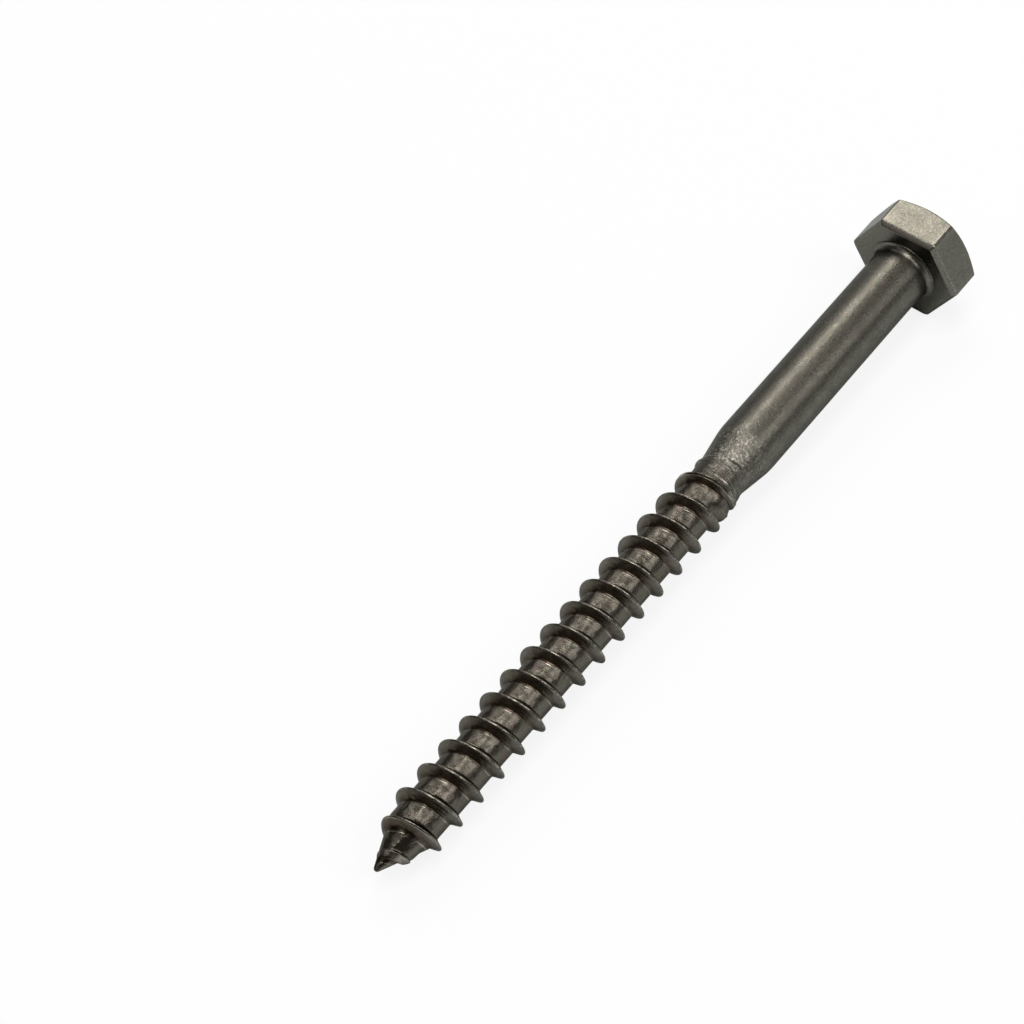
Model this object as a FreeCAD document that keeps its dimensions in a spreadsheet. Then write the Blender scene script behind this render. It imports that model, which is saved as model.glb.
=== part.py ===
import FreeCAD, Part
import math
import os
import re

import Sketcher

# A hex head wood screw, 8 mm by 100 mm, made in one piece: forged head, drawn shank, rolled thread.
# Every body is drawn with the screw's axis along X. The face that bears on the timber is at X = 0,
# the head is on its minus side, the point is on its plus side, and one flat of the head faces up.
# The finished screw is then tilted to lie as it comes to rest: on the edge of its lowest flat and
# on the last full turn of its thread.

nodeName = "wood_screw"

# Driving sizes in millimetres and degrees. A width is a diameter or the distance across the axis.
sizes = {
    # head
    "acrossFlats": 13.0,
    "headHeight": 5.1,
    "topCircleWidth": 12.35,
    "topChamferAngle": 30.0,
    "headRounding": 0.3,
    # collar and neck under the head
    "collarWidth": 9.0,
    "collarThickness": 0.15,
    "neckRadius": 1.45,
    # plain shank, the cone below it, and the core that carries the thread
    "shankWidth": 7.56,
    "shankLength": 33.0,
    "coneLength": 4.5,
    "coneEndWidth": 6.12,
    "runOutLength": 6.5,
    "rootWidth": 5.56,
    # point
    "screwLength": 100.0,
    "pointLength": 5.8,
    "tipWidth": 0.5,
    "tipRounding": 0.2,
    # thread: where a crest crosses the top of the screw, and how the ridge is shaped
    "threadWidth": 7.7,
    "threadPitch": 3.6,
    "threadStart": 37.02,
    "crestLand": 0.3,
    "flankAngle": 30.0,
    "ridgeGap": 0.03,
    "ridgeFootWidth": 0.8,
    # how the crest grows out of the cone and dies away along the point
    "crestRiseLength": 5.5,
    "crestSink": 0.05,
    "crestTaperLength": 6.8,
    "kneeDistance": 3.0,
    "kneeWidth": 4.26,
    "crestEndDistance": 1.8,
    # how far a shape that only cuts or bounds another one reaches beyond it
    "clearOf": 0.6,
}

doc = FreeCAD.newDocument("WoodScrew")


def makeSheet():
    sheet = doc.addObject("Spreadsheet::Sheet", "Sizes")
    for row, (name, value) in enumerate(sizes.items(), start=1):
        sheet.set(f"A{row}", name)
        sheet.set(f"B{row}", str(value))
        sheet.setAlias(f"B{row}", name)
    doc.recompute()
    return sheet


sheet = makeSheet()


def bound(formula):
    return re.sub("[A-Za-z]+", lambda word: "Sizes." + word[0] if word[0] in sizes else word[0], formula)


def worth(formula):
    return float(sheet.evalExpression(bound(formula)))


# Places and radii that follow from the driving sizes.
coneEnd = "(shankLength + coneLength)"
neckEnd = (
    "(collarThickness + sqrt(neckRadius^2"
    " - (neckRadius - (collarWidth - shankWidth) / 2)^2))"
)
pointStart = "(screwLength - pointLength)"
crestRadius = "(threadWidth / 2)"
crestFull = f"({coneEnd} + crestRiseLength)"
crestTaperStart = "(screwLength - crestTaperLength)"
kneeAt = "(screwLength - kneeDistance)"
crestEnd = "(screwLength - crestEndDistance)"
coreAtCrestEnd = "(tipWidth / 2 + crestEndDistance / pointLength * (rootWidth - tipWidth) / 2)"
ridgeStart = "(threadStart - threadPitch)"
ridgeHalfWidth = "(threadPitch / 2 - ridgeGap)"
ridgeFoot = f"({crestRadius} - ({ridgeHalfWidth} - crestLand / 2) / tan(flankAngle))"
ridgeRootHalf = f"(crestLand / 2 + ({crestRadius} - rootWidth / 2) * tan(flankAngle))"
restTurns = f"(floor(({crestTaperStart} - threadStart) / threadPitch - 1 / 2) + 1 / 2)"
restCrest = f"(threadStart + threadPitch * {restTurns})"
restTilt = f"atan((acrossFlats - threadWidth) / 2 / ({restCrest} + headRounding))"


def originPlane(body, role):
    return next(feature for feature in body.Origin.OriginFeatures if feature.Role == role)


def newBody(name):
    body = doc.addObject("PartDesign::Body", name)
    body.Label = name
    return body


def newSketch(body, name, role):
    sketch = body.newObject("Sketcher::SketchObject", name)
    sketch.AttachmentSupport = (originPlane(body, role), [""])
    sketch.MapMode = "FlatFace"
    return sketch


def tiePoint(sketch, edge, end, direction, formula):
    """Holds one end of an edge at a formula's distance from the sketch's origin."""
    if formula == "0":
        axis = -1 if direction == "DistanceY" else -2
        sketch.addConstraint(Sketcher.Constraint("PointOnObject", edge, end, axis))
        return
    index = sketch.addConstraint(
        Sketcher.Constraint(direction, -1, 1, edge, end, worth(formula))
    )
    sketch.setExpression(f"Constraints[{index}]", bound(formula))


def drawOutline(sketch, corners, neck=None):
    """Draws a closed outline through corners given as pairs of formulas.

    The edge that starts at the corner numbered neck is a hollow arc, tangent to the edge after it.
    """
    points = [FreeCAD.Vector(worth(along), worth(across), 0) for along, across in corners]
    count = len(corners)
    for number, start in enumerate(points):
        end = points[(number + 1) % count]
        if number == neck:
            radius = worth("neckRadius")
            centre = end + FreeCAD.Vector(0, radius, 0)
            turned = (start - centre).getAngle(FreeCAD.Vector(1, 0, 0))
            circle = Part.Circle(centre, FreeCAD.Vector(0, 0, 1), radius)
            sketch.addGeometry(Part.ArcOfCircle(circle, -turned, -math.pi / 2), False)
        else:
            sketch.addGeometry(Part.LineSegment(start, end), False)
    for number in range(count):
        joint = "Tangent" if number == neck else "Coincident"
        sketch.addConstraint(Sketcher.Constraint(joint, number, 2, (number + 1) % count, 1))
    for number, (along, across) in enumerate(corners):
        tiePoint(sketch, number, 1, "DistanceX", along)
        tiePoint(sketch, number, 1, "DistanceY", across)


def turn(body, name, sketch, kind="PartDesign::Revolution"):
    """Turns a sketch about the screw's axis, to add or to cut."""
    feature = body.newObject(kind, name)
    feature.Profile = sketch
    feature.ReferenceAxis = (sketch, ["H_Axis"])
    feature.Angle = 360
    return feature


def edgesWhere(shape, wanted):
    return [f"Edge{number}" for number, edge in enumerate(shape.Edges, start=1) if wanted(edge)]


def makeHead(body):
    """The hexagon, rounded on its corners and round its bearing face, and chamfered on top."""
    sketch = newSketch(body, "HexagonSketch", "YZ_Plane")
    cornerRadius = "acrossFlats / sqrt(3)"
    for number in range(6):
        start, end = (
            FreeCAD.Vector(math.cos(angle), math.sin(angle), 0) * worth(cornerRadius)
            for angle in (math.pi / 3 * number, math.pi / 3 * (number + 1))
        )
        sketch.addGeometry(Part.LineSegment(start, end), False)
    for number in range(6):
        sketch.addConstraint(Sketcher.Constraint("Coincident", number, 2, (number + 1) % 6, 1))
    for number, (across, up) in enumerate(
        [
            (cornerRadius, "0"),
            (f"{cornerRadius} / 2", "acrossFlats / 2"),
            (f"-{cornerRadius} / 2", "acrossFlats / 2"),
            (f"-{cornerRadius}", "0"),
            (f"-{cornerRadius} / 2", "-acrossFlats / 2"),
            (f"{cornerRadius} / 2", "-acrossFlats / 2"),
        ]
    ):
        tiePoint(sketch, number, 1, "DistanceX", across)
        tiePoint(sketch, number, 1, "DistanceY", up)
    hexagon = body.newObject("PartDesign::Pad", "Hexagon")
    hexagon.Profile = sketch
    hexagon.Reversed = True
    hexagon.setExpression("Length", bound("headHeight"))
    doc.recompute()

    topAt = -worth("headHeight")
    rounding = body.newObject("PartDesign::Fillet", "HeadRounding")
    rounding.Base = (
        hexagon,
        edgesWhere(hexagon.Shape, lambda edge: max(v.X for v in edge.Vertexes) > topAt / 2),
    )
    rounding.setExpression("Radius", bound("headRounding"))
    doc.recompute()

    beyondCorner = "(acrossFlats / sqrt(3) + clearOf)"
    chamferSketch = newSketch(body, "TopChamferSketch", "XZ_Plane")
    drawOutline(
        chamferSketch,
        [
            ("-headHeight", "topCircleWidth / 2"),
            (
                f"-headHeight + ({beyondCorner} - topCircleWidth / 2) * tan(topChamferAngle)",
                beyondCorner,
            ),
            ("-headHeight - clearOf", beyondCorner),
            ("-headHeight - clearOf", "topCircleWidth / 2"),
        ],
    )
    chamfer = turn(body, "TopChamfer", chamferSketch, "PartDesign::Groove")
    doc.recompute()
    if chamfer.Shape.Volume >= rounding.Shape.Volume:
        raise RuntimeError("the chamfer takes nothing off the head")


def makeBlank():
    """The screw before its thread is rolled: head, collar, neck, shank, cone, core and point."""
    body = newBody("screw_blank")
    makeHead(body)
    sketch = newSketch(body, "BlankSketch", "XZ_Plane")
    drawOutline(
        sketch,
        [
            ("-headHeight / 2", "0"),
            ("-headHeight / 2", "collarWidth / 2"),
            ("collarThickness", "collarWidth / 2"),
            (neckEnd, "shankWidth / 2"),
            ("shankLength", "shankWidth / 2"),
            (coneEnd, "coneEndWidth / 2"),
            (f"{coneEnd} + runOutLength", "rootWidth / 2"),
            (pointStart, "rootWidth / 2"),
            ("screwLength", "tipWidth / 2"),
            ("screwLength", "0"),
        ],
        neck=2,
    )
    blank = turn(body, "Blank", sketch)
    doc.recompute()

    crestEndAt = worth(crestEnd)
    rounding = body.newObject("PartDesign::Fillet", "TipRounding")
    rounding.Base = (
        blank,
        edgesWhere(blank.Shape, lambda edge: min(v.X for v in edge.Vertexes) > crestEndAt),
    )
    rounding.setExpression("Radius", bound("tipRounding"))
    doc.recompute()
    return body


def makeRidge():
    """The thread's ridge, swept along its helix from inside the cone to beyond the point."""
    body = newBody("thread_ridge")
    sketch = newSketch(body, "RidgeSketch", "XZ_Plane")
    drawOutline(
        sketch,
        [
            (f"{ridgeStart} - {ridgeHalfWidth}", "ridgeFootWidth / 2"),
            (f"{ridgeStart} + {ridgeHalfWidth}", "ridgeFootWidth / 2"),
            (f"{ridgeStart} + {ridgeHalfWidth}", ridgeFoot),
            (f"{ridgeStart} + {ridgeRootHalf}", "rootWidth / 2"),
            (f"{ridgeStart} + crestLand / 2", crestRadius),
            (f"{ridgeStart} - crestLand / 2", crestRadius),
            (f"{ridgeStart} - {ridgeRootHalf}", "rootWidth / 2"),
            (f"{ridgeStart} - {ridgeHalfWidth}", ridgeFoot),
        ],
    )
    helix = body.newObject("PartDesign::AdditiveHelix", "Ridge")
    helix.Profile = sketch
    helix.ReferenceAxis = (sketch, ["H_Axis"])
    helix.Mode = "pitch-height-angle"
    helix.setExpression("Pitch", bound("threadPitch"))
    helix.setExpression("Height", bound(f"screwLength - {ridgeStart}"))
    helix.LeftHanded = False
    helix.Reversed = False
    doc.recompute()
    return body


def makeEnvelope():
    """The solid of revolution that holds the crests down where they rise and where they die away.

    In between it stands clear of them.
    """
    body = newBody("crest_envelope")
    sketch = newSketch(body, "EnvelopeSketch", "XZ_Plane")
    riseSlope = f"(({crestRadius} - coneEndWidth / 2 + crestSink) / crestRiseLength)"
    fallSlope = f"(({crestRadius} - kneeWidth / 2) / (crestTaperLength - kneeDistance))"
    drawOutline(
        sketch,
        [
            (coneEnd, "0"),
            (coneEnd, "coneEndWidth / 2 - crestSink"),
            (f"{crestFull} + clearOf", f"{crestRadius} + clearOf * {riseSlope}"),
            (f"{crestTaperStart} - clearOf", f"{crestRadius} + clearOf * {fallSlope}"),
            (kneeAt, "kneeWidth / 2"),
            (crestEnd, f"{coreAtCrestEnd} - crestSink"),
            (crestEnd, "0"),
        ],
    )
    turn(body, "Envelope", sketch)
    doc.recompute()
    return body


def makeScrew():
    thread = doc.addObject("Part::Common", "Thread")
    thread.Base = makeRidge()
    thread.Tool = makeEnvelope()
    screw = doc.addObject("Part::Fuse", "Screw")
    screw.Base = makeBlank()
    screw.Tool = thread
    screw.Label = nodeName
    screw.Placement.Rotation = FreeCAD.Rotation(FreeCAD.Vector(0, 1, 0), 1)
    screw.setExpression("Placement.Rotation.Angle", bound(restTilt))
    screw.setExpression(
        "Placement.Base.x",
        bound(
            f"(topCircleWidth / 2 * sin({restTilt})"
            f" + (headHeight - screwLength) * cos({restTilt})) / 2"
        ),
    )
    screw.setExpression(
        "Placement.Base.z",
        bound(
            f"(acrossFlats / 2 - headRounding) * cos({restTilt})"
            f" + headRounding * (1 - sin({restTilt}))"
        ),
    )
    doc.recompute()
    return screw


screw = makeScrew()

failed = [entry.Name for entry in doc.Objects if {"Invalid", "Error"} & set(entry.State)]
if failed:
    raise RuntimeError(f"these objects did not compute: {failed}")
if screw.Shape.isNull() or not screw.Shape.isValid():
    raise RuntimeError("the screw's shape is not valid")
if len(screw.Shape.Solids) != 1:
    raise RuntimeError("the screw is not one solid")

os.makedirs("parts", exist_ok=True)
screw.Shape.exportStep(f"parts/{nodeName}.step")
box = screw.Shape.optimalBoundingBox()
print(f"{nodeName}: {box.XLength:.2f} x {box.YLength:.2f} x {box.ZLength:.2f} mm")
print(f"lowest point {box.ZMin:.4f} mm, tilt {worth(restTilt):.2f} deg, {screw.Shape.Volume:.0f} mm3")
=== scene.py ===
import math

import bpy
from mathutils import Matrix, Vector


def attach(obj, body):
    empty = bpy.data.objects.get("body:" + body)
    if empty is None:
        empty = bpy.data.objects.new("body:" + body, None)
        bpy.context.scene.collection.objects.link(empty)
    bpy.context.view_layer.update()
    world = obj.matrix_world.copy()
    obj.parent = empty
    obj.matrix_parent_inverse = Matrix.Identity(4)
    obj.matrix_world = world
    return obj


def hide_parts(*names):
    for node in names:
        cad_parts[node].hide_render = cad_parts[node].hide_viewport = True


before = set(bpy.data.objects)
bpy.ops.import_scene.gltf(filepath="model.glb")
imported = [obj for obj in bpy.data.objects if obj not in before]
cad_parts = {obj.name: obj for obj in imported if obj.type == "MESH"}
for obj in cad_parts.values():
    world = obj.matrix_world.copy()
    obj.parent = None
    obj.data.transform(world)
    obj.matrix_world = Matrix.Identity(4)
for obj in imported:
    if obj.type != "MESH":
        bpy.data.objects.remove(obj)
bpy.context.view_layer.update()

print("frame loaded")

millimetre = 0.001
fullTurn = 2 * math.pi


class Wire:
    # one socket of a node tree, so that a sum on sockets reads as a sum
    def __init__(self, bench, socket):
        self.bench = bench
        self.socket = socket

    def math(self, operation, *values):
        sockets = dict(enumerate((self,) + values))
        return self.bench.node("ShaderNodeMath", {"operation": operation}, sockets)

    def flipped(self, operation, first):
        return self.bench.node("ShaderNodeMath", {"operation": operation}, {0: first, 1: self})

    def __add__(self, other):
        return self.math("ADD", other)

    def __radd__(self, other):
        return self.flipped("ADD", other)

    def __sub__(self, other):
        return self.math("SUBTRACT", other)

    def __rsub__(self, other):
        return self.flipped("SUBTRACT", other)

    def __mul__(self, other):
        return self.math("MULTIPLY", other)

    def __truediv__(self, other):
        return self.math("DIVIDE", other)

    def __pow__(self, other):
        return self.math("POWER", other)

    def also(self, name):
        return Wire(self.bench, self.socket.node.outputs[name])


class Bench:
    # a node tree together with the one way that nodes are added to it
    def __init__(self, tree):
        self.tree = tree

    def node(self, kind, settings=None, sockets=None, out=0):
        made = self.tree.nodes.new(kind)
        for name, value in (settings or {}).items():
            setattr(made, name, value)
        for place, value in (sockets or {}).items():
            if isinstance(value, Wire):
                self.tree.links.new(value.socket, made.inputs[place])
            else:
                made.inputs[place].default_value = value
        return Wire(self, made.outputs[out]) if len(made.outputs) else made

    def ramp(self, value, fromLow, fromHigh, toLow=0.0, toHigh=1.0, interpolation="LINEAR"):
        return self.node(
            "ShaderNodeMapRange",
            {"interpolation_type": interpolation},
            {
                "Value": value,
                "From Min": fromLow,
                "From Max": fromHigh,
                "To Min": toLow,
                "To Max": toHigh,
            },
        )

    def mixColours(self, factor, first, second, blend="MIX"):
        return self.node(
            "ShaderNodeMix",
            {"data_type": "RGBA", "blend_type": blend},
            {0: factor, 6: first, 7: second},
            out=2,
        )

    def timesColour(self, first, second):
        return self.mixColours(1.0, first, second, "MULTIPLY")

    def point(self, x, y, z=0.0):
        return self.node("ShaderNodeCombineXYZ", None, {"X": x, "Y": y, "Z": z})

    def stretched(self, vector, factors):
        return self.node(
            "ShaderNodeVectorMath", {"operation": "MULTIPLY"}, {0: vector, 1: factors}
        )

    def noise(self, vector, scale=1.0, detail=3.0, roughness=0.5, distortion=0.0):
        return self.node(
            "ShaderNodeTexNoise",
            {"noise_dimensions": "3D"},
            {
                "Vector": vector,
                "Scale": scale,
                "Detail": detail,
                "Roughness": roughness,
                "Distortion": distortion,
            },
        )

    def stored(self, geometry, name, value, kind="FLOAT"):
        # keeps a value with every point of a mesh, for the material to read
        return self.node(
            "GeometryNodeStoreNamedAttribute",
            {"data_type": kind, "domain": "POINT"},
            {"Geometry": geometry, "Name": name, "Value": value},
        )


def emptyBench(owner):
    # a bench for the emptied node tree of a material or a world
    owner.use_nodes = True
    owner.node_tree.nodes.clear()
    return Bench(owner.node_tree)


cameraSize = {
    "place": (0.13095, 0.09912, 0.24058),
    "turn": (35.465, 3.402, 128.59),
    "lens": 88.193,
    "sensor": 36,
}


def makeCamera():
    data = bpy.data.cameras.new("camera")
    data.lens = cameraSize["lens"]
    data.sensor_width = cameraSize["sensor"]
    camera = bpy.data.objects.new("camera", data)
    camera.location = cameraSize["place"]
    camera.rotation_euler = [math.radians(angle) for angle in cameraSize["turn"]]
    bpy.context.collection.objects.link(camera)
    bpy.context.scene.camera = camera


makeCamera()
print("camera placed")


# how the screw lies: its own axis is X, measured in millimetres from the bearing face
lie = {
    "tilt": 1.630078,
    "place": (-47.34297, 0.0, 6.488957),
}

# the head, with its bearing face at 0 and its top at minus the height; the steps round the edge
# between the sides and the corners' cone are in edge roundings
headSize = {
    "acrossFlats": 13.0,
    "height": 5.1,
    "topCircle": 6.175,
    "topSlope": 30.0,
    "cornerRounding": 0.31,
    "cornerSharpening": 0.3,
    "leastRounding": 0.06,
    "bearingBevel": 0.45,
    "edgeRounding": 0.10,
    "edgeSideSteps": ((1.3, 0), (0.7, 0), (0.12, 0.28)),
    "edgeConeSteps": (0.9, 1.4),
    "topEdge": (0.08, 0.06, 0.2),
    "faceRings": (1.5, 4.2, 5.0),
    "sideRing": 2.6,
    "topRings": (4.0, 2.0),
}

# points along a flat, as shares of half its length, and steps on each half of a rounded corner
flatShares = (-0.97, -0.8, -0.55, -0.28, 0, 0.28, 0.55, 0.8, 0.97)
cornerSteps = 3

# the bevel round the bearing face: how far back and how far inward, in bevels
bevelCurve = (
    (0, 1.25),
    (0.01, 1.1),
    (0.05, 1.0),
    (0.13, 0.9),
    (0.8, 0.23),
    (0.93, 0.12),
    (1.08, 0.045),
    (1.26, 0.01),
    (1.5, 0),
)

# edges of the head that are painted bright: a line above the bevel, in bevels, which is partly wear
# and partly a painted highlight, and the six corners, a painted highlight that lifts the dark line
# their rounding reflects
headWearAndGlint = {
    "fromRadius": 6.0,
    "lineAt": 1.08,
    "lineWidth": 0.3,
    "cornerFromRadius": 7.33,
    "cornerFromTop": 0.6,
    "corner": 0.18,
}


def hexOutline(inset):
    # points of a hexagon with rounded corners, set inward by a distance, as (y, z)
    apothem = headSize["acrossFlats"] / 2 - inset
    rounding = headSize["cornerRounding"] - inset * headSize["cornerSharpening"]
    rounding = max(rounding, headSize["leastRounding"])
    cornerAt = (apothem - rounding) / math.cos(math.pi / 6)
    halfFlat = (apothem - rounding) * math.tan(math.pi / 6)
    points = []
    for side in range(6):
        middle = math.radians(60 * side + 30)
        outward = (math.cos(middle), math.sin(middle))
        sideways = (-math.sin(middle), math.cos(middle))
        for share in flatShares:
            shift = share * halfFlat
            points.append(tuple(outward[i] * apothem + sideways[i] * shift for i in (0, 1)))
        corner = math.radians(60 * side + 60)
        for step in range(-cornerSteps, cornerSteps + 1):
            angle = corner + math.radians(30 * step / cornerSteps)
            y = math.cos(corner) * cornerAt + math.cos(angle) * rounding
            z = math.sin(corner) * cornerAt + math.sin(angle) * rounding
            points.append((y, z))
    return points


def reach(point):
    return math.hypot(point[0], point[1])


def pulledTo(point, radius):
    return tuple(value * radius / reach(point) for value in point)


def headRings():
    # from the middle of the bearing face over the sides to the middle of the top
    height, top = headSize["height"], headSize["topCircle"]
    bevel, edge = headSize["bearingBevel"], headSize["edgeRounding"]
    slope = math.tan(math.radians(headSize["topSlope"]))
    outer = hexOutline(0)

    def levelRing(at, radius):
        return [(at, *pulledTo(point, radius)) for point in outer]

    def topRing(back, inward):
        # along the wavy edge where the sides meet the cone that cuts the corners
        ring = []
        for point in outer:
            coneAt = (reach(point) - top) * slope - height
            pulled = pulledTo(point, reach(point) - edge * inward)
            ring.append((coneAt + edge * back, *pulled))
        return ring

    rings = [levelRing(0.0, radius) for radius in headSize["faceRings"]]
    for back, inset in bevelCurve:
        rings.append([(-bevel * back, *point) for point in hexOutline(bevel * inset)])
    rings.append([(-headSize["sideRing"], *point) for point in outer])
    rings.extend(topRing(back, inward) for back, inward in headSize["edgeSideSteps"])
    rings.extend(topRing(-inward * slope, inward) for inward in headSize["edgeConeSteps"])
    outside, inside, within = headSize["topEdge"]
    rings.append(levelRing(outside * slope - height, top + outside))
    for radius in (top - inside, top - within, *headSize["topRings"]):
        rings.append(levelRing(-height, radius))
    return rings


def rimAt(at, y, z):
    # how much a point of the head is painted bright, as wear and painted highlight
    wearAndGlint = headWearAndGlint
    outward = math.hypot(y, z)
    if at > 0 or outward < wearAndGlint["fromRadius"]:
        return 0.0
    fromLine = abs(-at / headSize["bearingBevel"] - wearAndGlint["lineAt"])
    onCorner = outward > wearAndGlint["cornerFromRadius"]
    onCorner = onCorner and at > wearAndGlint["cornerFromTop"] - headSize["height"]
    return max(1 - fromLine / wearAndGlint["lineWidth"], wearAndGlint["corner"] if onCorner else 0.0, 0.0)


# collar, neck, plain shank and cone, up to the thread
shankSize = {
    "sunkInHead": 0.8,
    "sunkRadius": 2.0,
    "collar": 4.5,
    "collarDepth": 0.15,
    "collarEdge": ((0, 0), (0.6, 0), (0.9, 0.02), (1, 0.06)),
    "neckRounding": 0.95,
    "neckEnd": 0.85,
    "neckSteps": 14,
    "radius": 3.78,
    "plainRings": (1.1, 1.6, 2.4, 6, 12, 18, 24, 29, 31.5),
    "end": 33.0,
    "bendLength": 1.8,
    "bendSteps": 10,
    "coneRings": (34.5, 35.2, 35.9, 36.5, 37.0, 37.3),
    "coneEnd": 37.5,
    "coneEndRadius": 3.06,
    "stepsRound": 96,
}


def shankProfile():
    # radii along the plain part of the screw, from inside the head to the start of the thread
    size = shankSize
    collar, depth, radius = size["collar"], size["collarDepth"], size["radius"]
    profile = [(-size["sunkInHead"], size["sunkRadius"]), (-size["sunkInHead"], collar)]
    profile.extend((depth * share, collar - inward) for share, inward in size["collarEdge"])
    neck, endAt = size["neckRounding"], size["neckEnd"]
    startAngle = math.acos((endAt - depth) / neck)
    for step in range(size["neckSteps"] + 1):
        angle = startAngle + (math.pi / 2 - startAngle) * step / size["neckSteps"]
        profile.append((endAt - neck * math.cos(angle), radius + neck - neck * math.sin(angle)))
    profile.extend((at, radius) for at in size["plainRings"])
    coneSlope = (radius - size["coneEndRadius"]) / (size["coneEnd"] - size["end"])
    bend = size["bendLength"]
    for step in range(size["bendSteps"] + 1):
        gone = bend * step / size["bendSteps"]
        profile.append((size["end"] - bend / 2 + gone, radius - coneSlope * gone**2 / (2 * bend)))
    profile.extend((at, radius - (at - size["end"]) * coneSlope) for at in size["coneRings"])
    profile.append((size["coneEnd"], size["coneEndRadius"]))
    return profile


def roundRing(at, radius):
    # these rings run towards the tip, so they turn the other way to keep their faces outwards
    count = shankSize["stepsRound"]
    angles = [-fullTurn * step / count for step in range(count)]
    return [(at, radius * math.cos(angle), radius * math.sin(angle)) for angle in angles]


def closeRings(name, groups):
    # each group is a list of rings with the axis points that close its two ends
    vertices, faces = [], []
    for rings, first, last in groups:
        count = len(rings[0])
        start = len(vertices)
        end = start + (len(rings) - 1) * count
        for ring in rings:
            vertices.extend(ring)
        pairs = [(step, (step + 1) % count) for step in range(count)]
        for low in range(start, end, count):
            high = low + count
            for step, after in pairs:
                faces.append((low + after, low + step, high + step, high + after))
        if first is not None:
            middle = len(vertices)
            vertices.append((first, 0.0, 0.0))
            faces.extend((start + step, start + after, middle) for step, after in pairs)
        if last is not None:
            middle = len(vertices)
            vertices.append((last, 0.0, 0.0))
            faces.extend((end + after, end + step, middle) for step, after in pairs)
    mesh = bpy.data.meshes.new(name)
    mesh.from_pydata(vertices, [], faces)
    mesh.update()
    rims = [rimAt(*vertex) for vertex in vertices]
    mesh.attributes.new("rim", "FLOAT", "POINT").data.foreach_set("value", rims)
    return mesh


# the thread, a ridge on a helix, with the core and the point that it stands on
threadSize = {
    "Pitch": 3.6,
    "First centre": 0.12,
    "First turn": 9.75,
    "Turns": 18.5,
    "Start": 37.5,
    "End": 99.5,
    "Length": 100.0,
    "Crest radius": 3.85,
    "Root radius": 2.78,
    "Start radius": 3.06,
    "Tip radius": 0.25,
    "Root full at": 44.0,
    "Point start": 94.2,
    "Crest land": 0.22,
    "Flank angle": 30.0,
    "Back angle": 25.0,
    "Root rounding": 0.42,
    "Crest rounding": 0.22,
    "Full rounding from": 0.55,
    "Crest sink": 0.05,
    "Crest full at": 43.0,
    "First rise": 0.20,
    "First rise length": 0.6,
    "Crest taper from": 93.7,
    "Knee at": 97.0,
    "Knee radius": 2.13,
    "Crest end": 99.0,
    "Blunt from": 95.6,
    "Blunt land": 0.85,
    "Lips from": 40.0,
    "Lips whole from": 40.6,
    "Lips strongest at": 39.5,
    "Lips gone at": 42.5,
    "Lip share": 0.85,
    "Lip height": 0.08,
    "Lip sharpness": 0.6,
    "Chip depth": 0.30,
    "Chips in a turn": 14.0,
    "Chips across": 2.0,
    "Lump side": -20.0,
    "Lump rounding": 0.05,
    "Pit depth": 0.7,
    "Pits along": 2.0,
    "Pits round": 7.0,
    "Start lump at": 38.9,
    "Start lump height": 0.24,
    "Start lump before": 1.3,
    "Start lump after": 1.0,
    "Start lump narrowness": 1.0,
    "First lump at": 41.5,
    "First lump height": 0.66,
    "First lump before": 1.9,
    "First lump after": 0.95,
    "First lump narrowness": 2.5,
    "Last lump at": 96.6,
    "Last lump height": 0.38,
    "Last lump before": 1.6,
    "Last lump after": 0.7,
    "Last lump narrowness": 2.5,
    "Weld distance": 0.002,
    "Steps along": 1777,
    "Lines across": 45,
}
tipSteps = 6

# of the 22 lines on each half of the strip 7 lie on the crest, 9 on the flank and 6 at the root
crestShare, footShare = 7 / 22, 16 / 22
crestCrowding, rootCrowding = 1.3, 1.5

# the hollow and the lips of an unfilled crest lie between these shares of its half width
hollowShares, lipShares = (0.2, 0.7), (0.5, 0.75)

# the crest is painted bright, as wear and painted highlight, down to this depth, where the ridge is
# this high
rubbedAndGlintDepths, rubbedAndGlintHeights = (-0.10, -0.03), (0.05, 0.20)


def tipProfile():
    # the cone goes on past the thread and ends in a small ball
    tip, length, end = threadSize["Tip radius"], threadSize["Length"], threadSize["End"]
    slope = (threadSize["Root radius"] - tip) / (length - threadSize["Point start"])
    lean = math.atan(slope)
    ball = tip / (math.cos(lean) - slope * (1 - math.sin(lean)))
    profile = [(end, tip + (length - end) * slope)]
    for step in range(tipSteps):
        angle = lean + (math.pi / 2 - lean) * step / tipSteps
        profile.append((length - ball + ball * math.sin(angle), ball * math.cos(angle)))
    return profile


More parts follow.
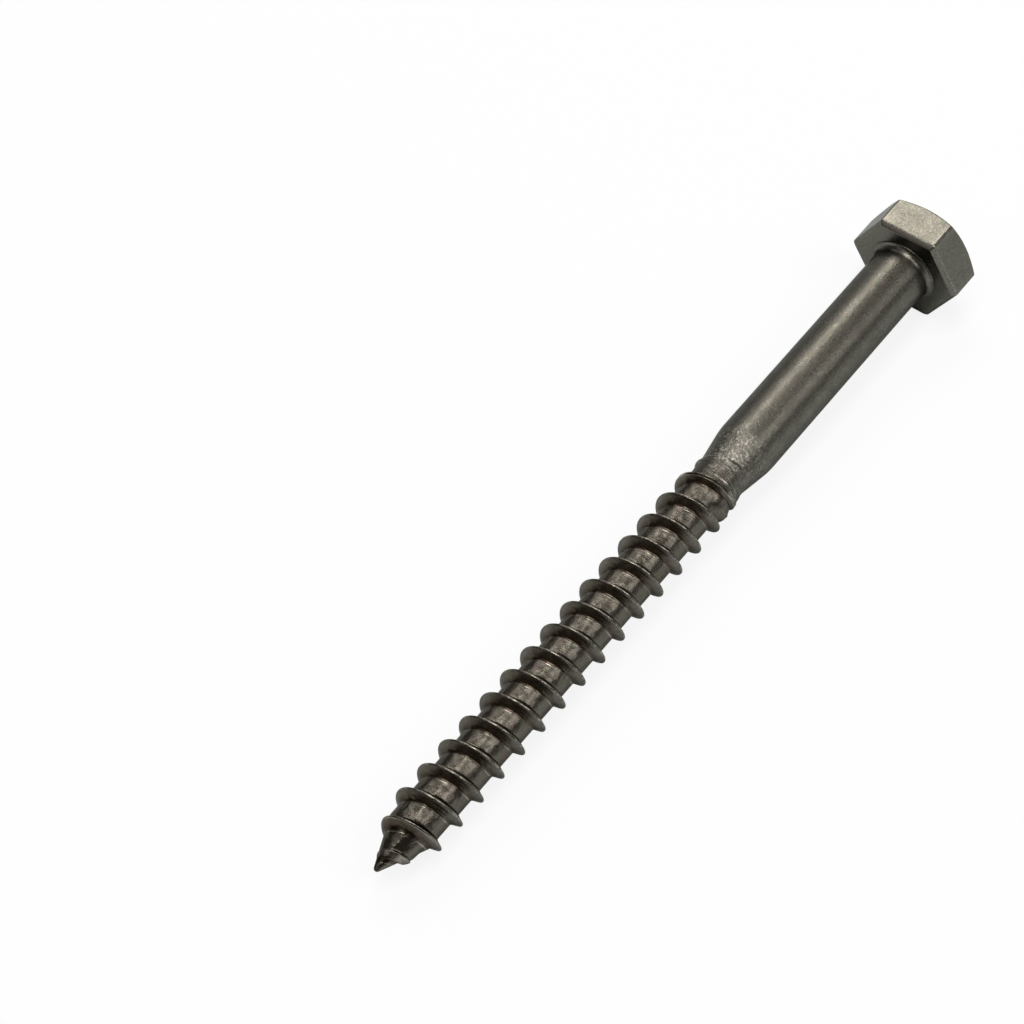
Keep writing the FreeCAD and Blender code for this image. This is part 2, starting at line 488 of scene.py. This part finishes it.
def threadTree(material):
    tree = bpy.data.node_groups.new("thread_on_helix", "GeometryNodeTree")
    tree.interface.new_socket(name="Geometry", in_out="INPUT", socket_type="NodeSocketGeometry")
    for name, value in threadSize.items():
        kind = "NodeSocketInt" if isinstance(value, int) else "NodeSocketFloat"
        socket = tree.interface.new_socket(name=name, in_out="INPUT", socket_type=kind)
        socket.default_value = value
    tree.interface.new_socket(name="Geometry", in_out="OUTPUT", socket_type="NodeSocketGeometry")
    bench = Bench(tree)
    given = bench.node("NodeGroupInput")
    size = given.also

    # the strip: its X runs along the helix, its Y across one pitch
    grid = bench.node(
        "GeometryNodeMeshGrid",
        None,
        {
            "Size X": 1.0,
            "Size Y": 1.0,
            "Vertices X": size("Steps along"),
            "Vertices Y": size("Lines across"),
        },
    )
    spot = bench.node("ShaderNodeSeparateXYZ", None, {0: bench.node("GeometryNodeInputPosition")})
    turn = size("First turn") + (spot.also("X") + 0.5) * size("Turns")
    across = spot.also("Y") * 2.0
    centre = size("First centre") + size("Pitch") * turn

    def coreAt(x):
        thinned = bench.ramp(
            x, size("Start"), size("Root full at"), size("Start radius"), size("Root radius")
        )
        pointed = bench.ramp(
            x, size("Point start"), size("Length"), 0.0, size("Root radius") - size("Tip radius")
        )
        return thinned - pointed

    coreAtEnd = coreAt(size("Crest end"))

    def peakAt(x):
        # where a sharp ridge would end, level along the screw and falling to the tip in three parts
        toKnee = size("Crest radius") - size("Knee radius")
        fallen = bench.ramp(x, size("Crest taper from"), size("Knee at"), 0.0, toKnee)
        toCore = size("Knee radius") - coreAtEnd + size("Crest sink")
        gone = bench.ramp(x, size("Knee at"), size("Crest end"), 0.0, toCore)
        past = bench.ramp(x, size("Crest end"), size("Length"), 0.0, coreAtEnd - size("Tip radius"))
        return size("Crest radius") - fallen - gone - past

    def unfilledAt(x):
        # how much of the ridge is missing where the thread begins: it rises fast, then slowly
        lowest = size("Start radius") - size("Crest sink")
        missing = bench.ramp(
            x, size("Start"), size("Crest full at"), size("Crest radius") - lowest, 0.0
        )
        risen = size("Start") + size("First rise length")
        fast = bench.ramp(x, size("Start"), risen) * bench.ramp(x, size("Crest full at"), risen)
        return missing - fast * size("First rise")

    def halfLandAt(x):
        # half the width of the crest; the last turn ends in a blunt ridge
        land = bench.ramp(
            x, size("Blunt from"), size("Knee at"), size("Crest land"), size("Blunt land")
        )
        return land / 2.0

    # lines across the strip crowd together at the crest's edges and at the foot of the flanks
    frontSlope = size("Flank angle").math("RADIANS").math("TANGENT")
    backSlope = size("Back angle").math("RADIANS").math("TANGENT")
    slope = backSlope + (frontSlope - backSlope) * across.math("GREATER_THAN", 0.0)
    half = size("Pitch") / 2.0
    edgeAt = (halfLandAt(centre) + unfilledAt(centre) * slope).math("MINIMUM", half)
    footAt = halfLandAt(centre) + (peakAt(centre) - coreAt(centre)) * slope
    footAt = footAt.math("MINIMUM", half).math("MAXIMUM", edgeAt)
    share = across.math("ABSOLUTE")
    onCrest = 1.0 - (1.0 - bench.ramp(share, 0.0, crestShare)) ** crestCrowding
    onFlank = bench.ramp(share, crestShare, footShare, interpolation="SMOOTHSTEP")
    onRoot = bench.ramp(share, footShare, 1.0) ** rootCrowding
    offset = onCrest * edgeAt + onFlank * (footAt - edgeAt) + onRoot * (half - footAt)
    offset = offset * across.math("SIGN")

    # the ridge over its core, in sharp lines
    along = (centre + offset).math("MAXIMUM", size("Start")).math("MINIMUM", size("End"))
    core = coreAt(along)
    peak = peakAt(along)
    crest = peak - unfilledAt(along)
    away = offset.math("ABSOLUTE")
    flank = peak - (away - halfLandAt(along)) / slope
    rise = bench.ramp(crest - core, 0.0, size("Full rounding from"))

    # an unfilled crest near the start of the thread has two lips with a hollow between them
    early = bench.ramp(along, size("Lips gone at"), size("Lips strongest at"))
    early = early * bench.ramp(along, size("Lips from"), size("Lips whole from"))
    fromMiddle = away / edgeAt.math("MAXIMUM", 0.01)
    hollow = (1.0 - bench.ramp(fromMiddle, *hollowShares)) * early * size("Lip share")
    lips = bench.ramp(fromMiddle, *lipShares) * early * size("Lip height")
    chipPlace = bench.point(turn * size("Chips in a turn"), offset * size("Chips across"))
    chips = (bench.noise(chipPlace, detail=2.0) - 0.5) * size("Chip depth") * early
    cut = crest + (chips + lips) * rise - hollow * (crest - core)

    # roundings at the crest and at the root
    crestRounding = size("Crest rounding") * rise * (1.0 - early * size("Lip sharpness"))
    ridge = flank.math("SMOOTH_MIN", cut, crestRounding)
    radius = core.math("SMOOTH_MAX", ridge, size("Root rounding") * rise)

    angle = turn * fullTurn
    cosine, sine = angle.math("COSINE"), angle.math("SINE")
    onSide = (angle - size("Lump side").math("RADIANS")).math("COSINE").math("MAXIMUM", 0.0)

    def lumpAt(name):
        # metal left between two turns on one side: it rises slowly and ends short of the next ridge
        middle = size(name + " at")
        start, end = middle - size(name + " before"), middle + size(name + " after")
        grown = bench.ramp(along, start, middle, interpolation="SMOOTHSTEP")
        left = bench.ramp(along, end, middle, interpolation="SMOOTHSTEP")
        return grown * left * onSide ** size(name + " narrowness") * size(name + " height")

    pitsRound = size("Pits round")
    pitPlace = bench.point(along * size("Pits along"), cosine * pitsRound, sine * pitsRound)
    pits = 1.0 + (bench.noise(pitPlace, detail=2.0) - 0.5) * size("Pit depth")
    lumps = lumpAt("Start lump") + lumpAt("First lump") * pits + lumpAt("Last lump")
    radius = radius.math("SMOOTH_MAX", core + lumps, size("Lump rounding") * rise)

    # what the material reads: how high a point lies on the ridge, and how much it is rubbed and
    # painted with highlights
    ridgeShare = bench.ramp(radius - core, 0.0, size("Crest radius") - size("Root radius"))
    rim = bench.ramp(radius - crest, *rubbedAndGlintDepths) * bench.ramp(crest - core, *rubbedAndGlintHeights)
    marked = bench.stored(bench.stored(grid, "ridge", ridgeShare), "rim", rim)
    onHelix = bench.point(along, radius * cosine, radius * sine)
    strip = bench.node("GeometryNodeSetPosition", None, {"Geometry": marked, "Position": onHelix})

    # joined with the head, shank and tip that come in, and laid down
    joined = bench.node("GeometryNodeJoinGeometry", None, {"Geometry": strip})
    tree.links.new(given.also("Geometry").socket, joined.socket.node.inputs["Geometry"])
    merged = bench.node(
        "GeometryNodeMergeByDistance", None, {"Geometry": joined, "Distance": size("Weld distance")}
    )
    placed = bench.stored(merged, "place", bench.node("GeometryNodeInputPosition"), "FLOAT_VECTOR")
    laid = bench.node(
        "GeometryNodeTransform",
        None,
        {
            "Geometry": placed,
            "Translation": Vector(lie["place"]) * millimetre,
            "Rotation": (0.0, math.radians(lie["tilt"]), 0.0),
            "Scale": (millimetre, millimetre, millimetre),
        },
    )
    smooth = bench.node(
        "GeometryNodeSetShadeSmooth", None, {"Geometry": laid, "Shade Smooth": True}
    )
    realized = bench.node("GeometryNodeRealizeInstances", None, {"Geometry": smooth})
    finished = bench.node(
        "GeometryNodeSetMaterial", None, {"Geometry": realized, "Material": material}
    )
    bench.node("NodeGroupOutput", None, {"Geometry": finished})
    return tree


# the metal; the last number of a colour is not used
steelLook = {
    "colour": (0.138, 0.134, 0.119, 1),
    "darkColour": (0.081, 0.076, 0.065, 1),
    # colours of rubbed metal with painted highlights and glints
    "wornAndGlintColour": (0.32, 0.313, 0.29, 1),
    "brightWornAndGlintColour": (0.62, 0.60, 0.56, 1),
    "edgeColour": (0.46, 0.46, 0.46, 1),
    # painted shade and reflection on the flanks that face the tip: near the crest, at the sides, at
    # the foot
    "flankShadeAtCrest": (0.62, 0.58, 0.54, 1),
    "flankShadeAtSide": (1.42, 1.45, 1.56, 1),
    "flankShadeAtFoot": (0.44, 0.34, 0.28, 1),
    "threadTint": (0.96, 0.92, 0.895, 1),
    "warmTint": (1.06, 0.97, 1.0, 1),
    "greenTint": (0.95, 1.02, 0.95, 1),
    "grainDepth": 0.016,
    "rolledLineAt": 1.05,
    "rolledLineWidth": 0.11,
    # the painted highlight on the line beside the ridge, and its brightness
    "rolledLineGlint": 1.2,
    "rolledLineBright": 0.45,
    "rolledLineHeight": 2.0,
    "startLineWidth": 0.14,
    # painted highlight on the line where the thread begins
    "startLineGlint": 0.8,
    "startLineHeight": 3.0,
    # how much the painted glints on the cone fade at the sides
    "coneGlintSideFade": 0.7,
    # how much lighter the painted flank shade is at the sides
    "flankShadeSideLighter": 0.2,
}

# parts of the screw along its axis: faded in from the first place to the second, out likewise
zones = {
    "head": (0.05, 0.0),
    "shank": (0.6, 2.0, 32.6, 33.4),
    "cone": (32.2, 33.6, 37.3, 37.9),
    "start": (36.2, 36.7, 37.5, 37.7),
    "band": (37.1, 37.6, 39.5, 41.0),
    "thread": (38.5, 40.5),
    "firstTurn": (40.2, 40.5, 41.5, 42.5),
    "rolledLine": (42.0, 44.0),
    "tip": (86.0, 94.0),
}

# patterns of noise; "stretch" is along and round the screw, "helix" in a turn and across the ridge
patterns = {
    "fine": {"scale": 1 / 0.17, "detail": 3.0, "roughness": 0.6},
    "speckle": {"scale": 1 / 0.22, "detail": 2.0, "roughness": 0.6},
    "streaks": {"scale": 3.2, "detail": 4.0, "roughness": 0.6, "stretch": (0.22, 1, 1)},
    "rings": {"scale": 1.0, "detail": 3.0, "roughness": 0.6, "stretch": (7.0, 0.35, 0.35)},
    "dents": {"scale": 3.0, "detail": 3.0, "roughness": 0.6, "distortion": 0.3},
    "waves": {"scale": 1.2, "detail": 0.0, "roughness": 0.5, "distortion": 0.2},
    "blotches": {"scale": 0.55, "detail": 3.0, "roughness": 0.6},
    "patches": {"scale": 2.2, "detail": 2.0},
    # clouds in the painted shade on the flanks
    "shadeClouds": {"scale": 1.3, "detail": 2.0},
    "tints": {"scale": 2.0, "detail": 2.0},
    "rolled": {"scale": 1.0, "detail": 3.0, "roughness": 0.6, "helix": (4.0, 6.0)},
    "dashes": {"scale": 1.0, "detail": 2.0, "helix": (9.0, 2.0)},
}

# how a value becomes a mark: it starts at the first number, is whole at the second, and then, if
# they are given, the mark goes from the third number to the fourth instead of from 0 to 1
marks = {
    "side": (0.55, 0.97),
    "dashes": (0.42, 0.58),
    "darkBlotches": (0.35, 0.68, 0.0, 0.35),
    "darkStreaks": (0.4, 0.75, 0.0, 0.3),
    "darkDents": (0.50, 0.34, 0.0, 0.7),
    # rubbed patches on the crest, partly wear and partly painted glints
    "rubbedAndGlintPatches": (0.44, 0.62, 0.04, 0.7),
    # painted light on the head side of the crest, high on the ridge
    "behindCrestLit": (-0.07, -0.13),
    "highBehindCrestLit": (0.35, 0.8),
    # painted glints in flecks on the cone
    "glintFlecks": (0.54, 0.66, 0.10, 1.05),
    # painted glints on the band behind the cone
    "glintRings": (0.56, 0.64),
    # where the painted flank shade begins and ends, its clouds, and its deepening to the foot
    "flankShadeBegins": (0.08, 0.22),
    "flankShadeEnds": (1.15, 0.75),
    "flankShadeClouds": (0.30, 0.55, 0.65, 1.0),
    "flankShadeFoot": (0.65, 0.08),
    "tints": (0.35, 0.65),
    "speckle": (0.28, 0.72, -1.0, 1.0),
    "shadedRoot": (0.25, 0.05),
    "roughBlotches": (0.3, 0.7, -0.04, 0.05),
    "roughBack": (-0.06, -0.13),
    "roughHigh": (0.6, 0.9),
    "raisedRings": (0.50, 0.60),
    "wavyRoot": (0.55, 0.10),
}

# how strong a mark is on the whole screw, and how much more or less on its parts
strengths = {
    "darkClouds": {"all": 1.0, "head": -0.7},
    "darkDents": {"head": 0.25, "cone": 1.0, "thread": 0.3, "tip": -0.3},
    # rubbed patches and edges, partly wear and partly painted highlight
    "rubbedAndGlintPatches": {"all": 1.0, "head": -0.65, "tip": -0.4},
    "rubbedAndGlintEdges": {"head": 0.14, "firstTurn": 0.3, "tip": 0.3},
    # painted highlight in dashes on the first turn
    "glintDashes": {"firstTurn": 0.7},
    # painted light on the head side of the crest
    "behindCrestLit": {"thread": 0.45},
    # painted glints on the band behind the cone
    "glintRings": {"band": 1.2},
    "speckle": {"all": 0.26, "thread": -0.104, "tip": -0.052},
    "shadedRoot": {"thread": 0.18, "tip": 0.12},
    "roughness": {"all": 0.28, "head": -0.05, "thread": -0.03, "tip": -0.03},
    "roughBack": {"thread": 0.35},
}

# how high each pattern stands, in grain depths, in the same way
relief = {
    "fine": {"all": 1.5, "head": -0.6, "cone": 0.8, "thread": -0.8, "tip": 0.6},
    "streaks": {"shank": 1.2},
    "rings": {"band": 3.5},
    "raisedRings": {"band": 1.4},
    "dents": {"shank": 0.8, "cone": 4.2, "thread": 1.2, "tip": 0.8},
    "waves": {"thread": 5.0, "tip": 2.5},
    "rolled": {"thread": 1.0},
}


def makeSteel():
    material = bpy.data.materials.new("rolled_stainless")
    bench = emptyBench(material)
    look = steelLook
    place = bench.node("ShaderNodeAttribute", {"attribute_name": "place"}, out="Vector")
    ridge = bench.node("ShaderNodeAttribute", {"attribute_name": "ridge"}, out="Fac")
    rim = bench.node("ShaderNodeAttribute", {"attribute_name": "rim"}, out="Fac")
    along = bench.node("ShaderNodeSeparateXYZ", None, {0: place})

    # place on the helix: turns from the head, and the distance from the crest towards the tip
    angle = along.also("Z").math("ARCTAN2", along.also("Y")) / fullTurn
    phase = (along - threadSize["First centre"]) / threadSize["Pitch"] - angle
    lap = phase.math("ROUND")
    offset = (phase - lap) * threadSize["Pitch"]
    turn = lap + angle

    def zone(spots):
        inside = bench.ramp(along, spots[0], spots[1])
        if len(spots) > 2:
            inside = inside * bench.ramp(along, spots[3], spots[2])
        return inside

    def pattern(shape):
        settings = dict(shape)
        helix, stretch = settings.pop("helix", None), settings.pop("stretch", None)
        vector = place
        if helix:
            vector = bench.point(turn * helix[0], offset * helix[1])
        if stretch:
            vector = bench.stretched(place, stretch)
        return bench.noise(vector, **settings)

    on = {name: zone(spots) for name, spots in zones.items()}
    noise = {name: pattern(shape) for name, shape in patterns.items()}

    def mark(value, name):
        return bench.ramp(value, *marks[name])

    def weighed(weights):
        return sum(
            weight if part == "all" else on[part] * weight for part, weight in weights.items()
        )

    def strength(name):
        return weighed(strengths[name])

    dashes = mark(noise["dashes"], "dashes")
    toSide = mark((angle * fullTurn).math("COSINE").math("ABSOLUTE"), "side")

    # two thin lines pressed by the rolling: one beside the ridge, one where the thread begins;
    # their bright colour is a painted highlight
    fromLine = (offset - look["rolledLineAt"]).math("ABSOLUTE") / look["rolledLineWidth"]
    rolledLine = (1.0 - fromLine).math("MAXIMUM", 0.0) * dashes * on["rolledLine"]
    fromStart = offset.math("ABSOLUTE") / look["startLineWidth"]
    startLine = (1.0 - fromStart).math("MAXIMUM", 0.0) * on["start"]

    # the bare metal, darker in clouds, streaks and dents
    tone = mark(noise["blotches"], "darkBlotches") + mark(noise["streaks"], "darkStreaks")
    tone = tone * strength("darkClouds")
    tone = tone + mark(noise["dents"], "darkDents") * strength("darkDents")
    colour = bench.mixColours(tone, look["colour"], look["darkColour"])

    # painted bright, partly wear and partly painted highlight: the crest, edges of the head, flecks
    # on the cone, dashes on the band behind it
    rubbedAndLit = mark(noise["patches"], "rubbedAndGlintPatches") * strength("rubbedAndGlintPatches")
    # dashes on the lip of the first turn are a painted highlight
    rubbedAndLit = rubbedAndLit + strength("rubbedAndGlintEdges") + dashes * strength("glintDashes")
    # painted light on the head side of the crest, over the dark line that shows there
    back = mark(offset, "behindCrestLit") * mark(ridge, "highBehindCrestLit") * strength("behindCrestLit")
    # bright flecks on the cone's raised dents, partly wear and partly painted glints, faded at the
    # sides where less light falls
    coneGlints = mark(noise["dents"], "glintFlecks") * on["cone"]
    coneGlints = coneGlints * (1.0 - toSide * look["coneGlintSideFade"])
    # painted glints in dashes on the band behind the cone
    rings = mark(noise["rings"], "glintRings") * strength("glintRings")
    # the pressed lines' bright colour is a painted highlight
    lines = rolledLine * look["rolledLineGlint"] + startLine * dashes * look["startLineGlint"]
    rubbedAndLit = rim * rubbedAndLit + back + coneGlints + rings + lines
    bright = (on["head"] + rolledLine * look["rolledLineBright"]).math("MINIMUM", 1.0)
    wornAndLit = bench.mixColours(bright, look["wornAndGlintColour"], look["brightWornAndGlintColour"])
    colour = bench.mixColours(rubbedAndLit.math("MINIMUM", 1.0), colour, wornAndLit)

    # painted shade and brown painted reflection on the side of the ridge that faces the tip,
    # deepest at its foot and lighter and bluer at the sides of the screw
    flankShaded = on["thread"] * mark(offset, "flankShadeBegins") * mark(offset, "flankShadeEnds")
    flankShaded = flankShaded * mark(noise["shadeClouds"], "flankShadeClouds")
    toShadedFoot = mark(ridge, "flankShadeFoot") * (1.0 - toSide * look["flankShadeSideLighter"])
    flankShadeColour = bench.mixColours(toSide, look["flankShadeAtCrest"], look["flankShadeAtSide"])
    flankShadeColour = bench.mixColours(toShadedFoot, flankShadeColour, look["flankShadeAtFoot"])
    colour = bench.mixColours(flankShaded, colour, bench.timesColour(colour, flankShadeColour))

    # faint tints in patches, dark and light dots, and shade between the turns
    tint = bench.mixColours(mark(noise["tints"], "tints"), look["warmTint"], look["greenTint"])
    tint = bench.mixColours(on["thread"], tint, bench.timesColour(tint, look["threadTint"]))
    colour = bench.timesColour(colour, tint)
    dots = mark(noise["speckle"], "speckle") * strength("speckle") + 1.0
    shade = mark(ridge, "shadedRoot") * strength("shadedRoot") * (1.0 - toSide) * (1.0 - rolledLine)
    colour = bench.node(
        "ShaderNodeVectorMath", {"operation": "SCALE"}, {0: colour, "Scale": dots * (1.0 - shade)}
    )

    roughness = strength("roughness") + mark(noise["blotches"], "roughBlotches")
    back = mark(offset, "roughBack") * mark(ridge, "roughHigh") * strength("roughBack")

    # the patterns as relief, with the raised rings and the waves cut down to where they belong
    noise["raisedRings"] = mark(noise["rings"], "raisedRings")
    noise["waves"] = noise["waves"] * mark(ridge, "wavyRoot")
    height = sum(noise[name] * weighed(weights) for name, weights in relief.items())
    height = height + rolledLine * look["rolledLineHeight"] + startLine * look["startLineHeight"]
    bump = bench.node(
        "ShaderNodeBump",
        None,
        {"Strength": 1.0, "Distance": look["grainDepth"] * millimetre, "Height": height},
    )
    shader = bench.node(
        "ShaderNodeBsdfPrincipled",
        None,
        {
            "Base Color": colour,
            "Metallic": 1.0,
            "Specular Tint": look["edgeColour"],
            "Roughness": roughness + back,
            "Normal": bump,
        },
    )
    bench.node("ShaderNodeOutputMaterial", None, {"Surface": shader})
    return material


steel = makeSteel()
print("steel made")


def makeScrew():
    head = headRings()
    shank = [roundRing(at, radius) for at, radius in shankProfile()]
    tip = [roundRing(at, radius) for at, radius in tipProfile()]
    groups = [
        (head, 0.0, -headSize["height"]),
        (shank, -shankSize["sunkInHead"], None),
        (tip, None, threadSize["Length"]),
    ]
    plain = closeRings("screw_plain", groups)
    screw = bpy.data.objects.new("hex_wood_screw", plain)
    bpy.context.collection.objects.link(screw)
    tree = threadTree(steel)
    modifier = screw.modifiers.new("thread", "NODES")
    modifier.node_group = tree
    for item in tree.interface.items_tree:
        if item.in_out == "INPUT" and item.name in threadSize:
            modifier[item.identifier] = threadSize[item.name]
    bpy.context.view_layer.update()
    evaluated = screw.evaluated_get(bpy.context.evaluated_depsgraph_get())
    result = bpy.data.meshes.new_from_object(evaluated)
    screw.modifiers.clear()
    screw.data = result
    bpy.data.meshes.remove(plain)
    result.name = "hex_wood_screw"
    return screw


screw = makeScrew()
print("screw made with", len(screw.data.vertices), "points")
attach(screw, "root")
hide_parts("wood_screw")


studio = {
    "floorWidth": 3.0,
    "floorColour": (0.90, 0.96, 0.98, 1),
    "floorGlow": 0.86,
    "worldColour": (0.127, 0.1155, 0.106, 1),
    "target": (0.0, 0.0, 0.005),
}

# each lamp is a flat panel that faces the screw; radiance 1 looks white
lamps = {
    "key": {
        "toward": (-0.56, -0.38, 0.735),
        "distance": 0.9,
        "size": (0.29, 0.29),
        "radiance": 6.0,
        "colour": (1.0, 0.96, 0.89),
    },
    "top": {
        "toward": (0.06, 0.0, 1.0),
        "distance": 0.9,
        "size": (0.30, 0.85),
        "radiance": 5.2,
        "colour": (1.0, 0.97, 0.92),
    },
    "halo": {
        "toward": (-0.12, 0.20, 0.97),
        "distance": 1.0,
        "size": (0.70, 1.2),
        "radiance": 0.8,
        "colour": (1.0, 0.97, 0.93),
    },
    "fill": {
        "toward": (-0.38, 0.67, 0.63),
        "distance": 1.1,
        "size": (0.5, 0.5),
        "radiance": 1.9,
        "colour": (1.0, 0.98, 0.95),
    },
    "side": {
        "toward": (-0.32, -0.62, 0.71),
        "distance": 1.0,
        "size": (0.55, 0.55),
        "radiance": 1.6,
        "colour": (1.0, 0.98, 0.95),
    },
    "left": {
        "toward": (-0.12, 0.60, 0.79),
        "distance": 1.1,
        "size": (0.34, 0.5),
        "radiance": 3.6,
        "colour": (1.0, 0.98, 0.95),
    },
    "front": {
        "toward": (0.64, -0.28, 0.70),
        "distance": 1.0,
        "size": (0.6, 0.6),
        "radiance": 0.65,
        "colour": (1.0, 0.98, 0.95),
    },
    "wall": {
        "toward": (-0.85, -0.45, 0.25),
        "distance": 1.1,
        "size": (1.5, 0.6),
        "radiance": 0.6,
        "colour": (1.0, 1.0, 1.0),
    },
    "strip": {
        "toward": (-0.60, 0.80, 0.08),
        "distance": 1.0,
        "size": (1.4, 0.16),
        "radiance": 0.6,
        "colour": (1.0, 1.0, 1.0),
    },
}


def makeFloor():
    half = studio["floorWidth"] / 2
    mesh = bpy.data.meshes.new("floor")
    corners = [(-half, -half, 0), (half, -half, 0), (half, half, 0), (-half, half, 0)]
    mesh.from_pydata(corners, [], [(0, 1, 2, 3)])
    floor = bpy.data.objects.new("floor", mesh)
    bpy.context.collection.objects.link(floor)
    material = bpy.data.materials.new("pale_floor")
    bench = emptyBench(material)
    plain = bench.node("ShaderNodeBsdfDiffuse", None, {"Color": studio["floorColour"]})
    glow = bench.node("ShaderNodeEmission", None, {"Color": (1, 1, 1, 1), "Strength": 1.0})

    # only the camera sees the glow, so it lights nothing
    seen = bench.node("ShaderNodeLightPath").also("Is Camera Ray")
    share = seen * studio["floorGlow"]
    mixed = bench.node("ShaderNodeMixShader", None, {0: share, 1: plain, 2: glow})
    bench.node("ShaderNodeOutputMaterial", None, {"Surface": mixed})
    mesh.materials.append(material)


def makeLamps():
    target = Vector(studio["target"])
    for name, lamp in lamps.items():
        light = bpy.data.lights.new(name, "AREA")
        light.shape = "ELLIPSE"
        light.size, light.size_y = lamp["size"]
        area = math.pi * light.size * light.size_y / 4
        light.energy = lamp["radiance"] * area * math.pi
        light.color = lamp["colour"]
        holder = bpy.data.objects.new(name, light)
        toward = Vector(lamp["toward"]).normalized()
        holder.location = target + toward * lamp["distance"]
        holder.rotation_euler = toward.to_track_quat("Z", "Y").to_euler()
        bpy.context.collection.objects.link(holder)


def makeWorld():
    world = bpy.data.worlds.new("studio")
    bench = emptyBench(world)
    sockets = {"Color": studio["worldColour"], "Strength": 1.0}
    light = bench.node("ShaderNodeBackground", None, sockets)
    bench.node("ShaderNodeOutputWorld", None, {"Surface": light})
    bpy.context.scene.world = world


makeFloor()
makeLamps()
makeWorld()
bpy.context.scene.view_settings.view_transform = "Standard"
print("floor and light made")
